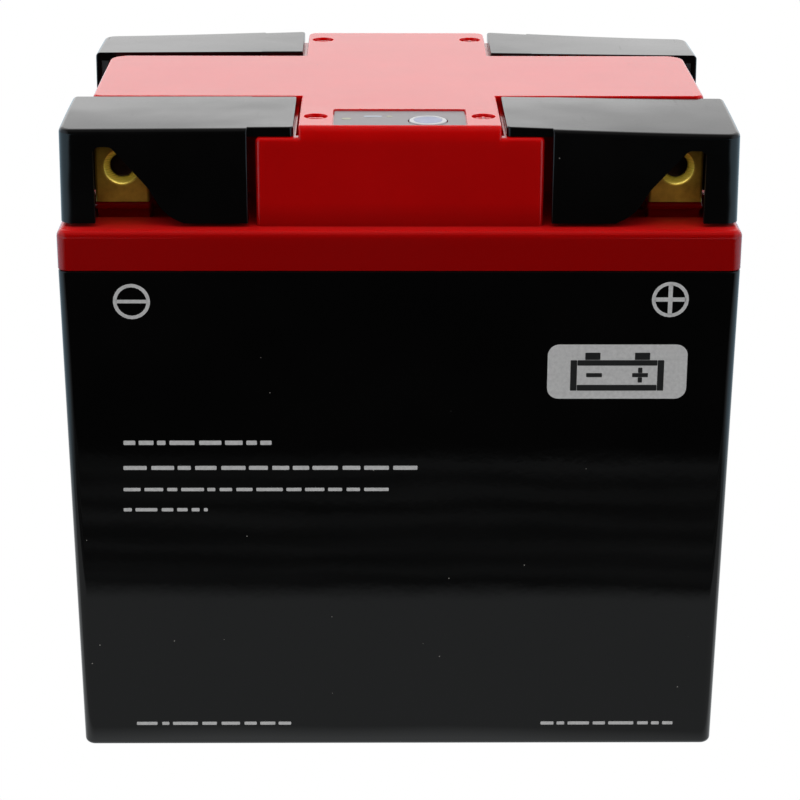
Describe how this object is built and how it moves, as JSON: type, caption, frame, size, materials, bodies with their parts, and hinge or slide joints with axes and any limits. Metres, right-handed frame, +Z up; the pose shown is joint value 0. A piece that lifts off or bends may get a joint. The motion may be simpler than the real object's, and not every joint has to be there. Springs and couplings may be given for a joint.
{
  "type": "motorcycle battery",
  "caption": "Sealed lithium motorcycle battery: tapered black case, red cross-shaped lid, screw terminals under push-on corner covers, and a charge indicator with a test button.",
  "frame": {"origin": "centre of the base, on the surface that the battery stands on", "axes": "+Z up; -Y is the front face with the printed marks; -X is the negative side and +X the positive side"},
  "size_m": [0.1874, 0.134, 0.1854],
  "materials": {
    "case_plastic": "gloss black moulded ABS",
    "lid_plastic": "gloss red moulded ABS",
    "cover_plastic": "gloss black moulded plastic",
    "terminal_brass": "machined brass, satin",
    "seal_rubber": "black rubber",
    "fastener_steel": "zinc plated steel",
    "link_copper": "bare copper bar",
    "nickel_strip": "nickel plated strip",
    "black_wire": "black silicone insulation",
    "red_wire": "red silicone insulation",
    "white_wire": "white wire and nylon socket",
    "cell_sleeve": "green shrink sleeve",
    "holder_plastic": "grey-black moulded cell holder",
    "circuit_board": "green glass-epoxy board",
    "chip_plastic": "black moulded component",
    "packing_foam": "closed-cell packing foam",
    "label_film": "silver-grey printed film",
    "button_plastic": "pale blue moulded button",
    "led_plastic": "clear moulded lens"
  },
  "bodies": {
    "battery": {"case_body": "case_plastic", "lid": "lid_plastic", "terminal_front_left": "terminal_brass", "terminal_front_right": "terminal_brass", "terminal_back_left": "terminal_brass", "terminal_back_right": "terminal_brass", "terminal_seal_front_left": "seal_rubber", "terminal_seal_front_right": "seal_rubber", "terminal_seal_back_left": "seal_rubber", "terminal_seal_back_right": "seal_rubber", "terminal_nut_front_left": "fastener_steel", "terminal_nut_front_right": "fastener_steel", "terminal_nut_back_left": "fastener_steel", "terminal_nut_back_right": "fastener_steel", "indicator_screw_1": "fastener_steel", "indicator_screw_2": "fastener_steel", "board_screw_1": "fastener_steel", "board_screw_2": "fastener_steel", "board_screw_3": "fastener_steel", "board_screw_4": "fastener_steel", "negative_link_bar": "link_copper", "positive_link_bar": "link_copper", "negative_lug": "nickel_strip", "positive_lug": "nickel_strip", "negative_tab": "nickel_strip", "positive_tab": "nickel_strip", "series_link_1": "nickel_strip", "series_link_2": "nickel_strip", "series_link_3": "nickel_strip", "negative_lead": "black_wire", "positive_lead": "red_wire", "harness_socket": "white_wire", "indicator_harness": "white_wire", "balance_harness": "white_wire", "cell_1": "cell_sleeve", "cell_2": "cell_sleeve", "cell_3": "cell_sleeve", "cell_4": "cell_sleeve", "cell_holder_lower": "holder_plastic", "cell_holder_upper": "holder_plastic", "balance_board": "circuit_board", "indicator_board": "circuit_board", "power_transistor_1": "chip_plastic", "power_transistor_2": "chip_plastic", "button_switch": "chip_plastic", "foam_base": "packing_foam", "foam_left": "packing_foam", "foam_right": "packing_foam", "foam_front": "packing_foam", "foam_back": "packing_foam", "status_label": "label_film", "status_led_1": "led_plastic", "status_led_2": "led_plastic", "status_led_3": "led_plastic"},
    "cover_front_left": {"terminal_cover_front_left": "cover_plastic"},
    "cover_front_right": {"terminal_cover_front_right": "cover_plastic"},
    "cover_back_left": {"terminal_cover_back_left": "cover_plastic"},
    "cover_back_right": {"terminal_cover_back_right": "cover_plastic"},
    "button": {"test_button": "button_plastic"}
  },
  "joints": [
    {"name": "cover_front_left_lift", "type": "slide", "parent": "battery", "child": "cover_front_left", "axis": [0, 0, 1], "range_m": [0, 0.04]},
    {"name": "cover_front_right_lift", "type": "slide", "parent": "battery", "child": "cover_front_right", "axis": [0, 0, 1], "range_m": [0, 0.04]},
    {"name": "cover_back_left_lift", "type": "slide", "parent": "battery", "child": "cover_back_left", "axis": [0, 0, 1], "range_m": [0, 0.04]},
    {"name": "cover_back_right_lift", "type": "slide", "parent": "battery", "child": "cover_back_right", "axis": [0, 0, 1], "range_m": [0, 0.04]},
    {"name": "test_button_press", "type": "slide", "parent": "battery", "child": "button", "axis": [0, 0, -1], "range_m": [0, 0.0005], "stiffness_N_per_m": 400, "springref_m": -0.0008}
  ]
}
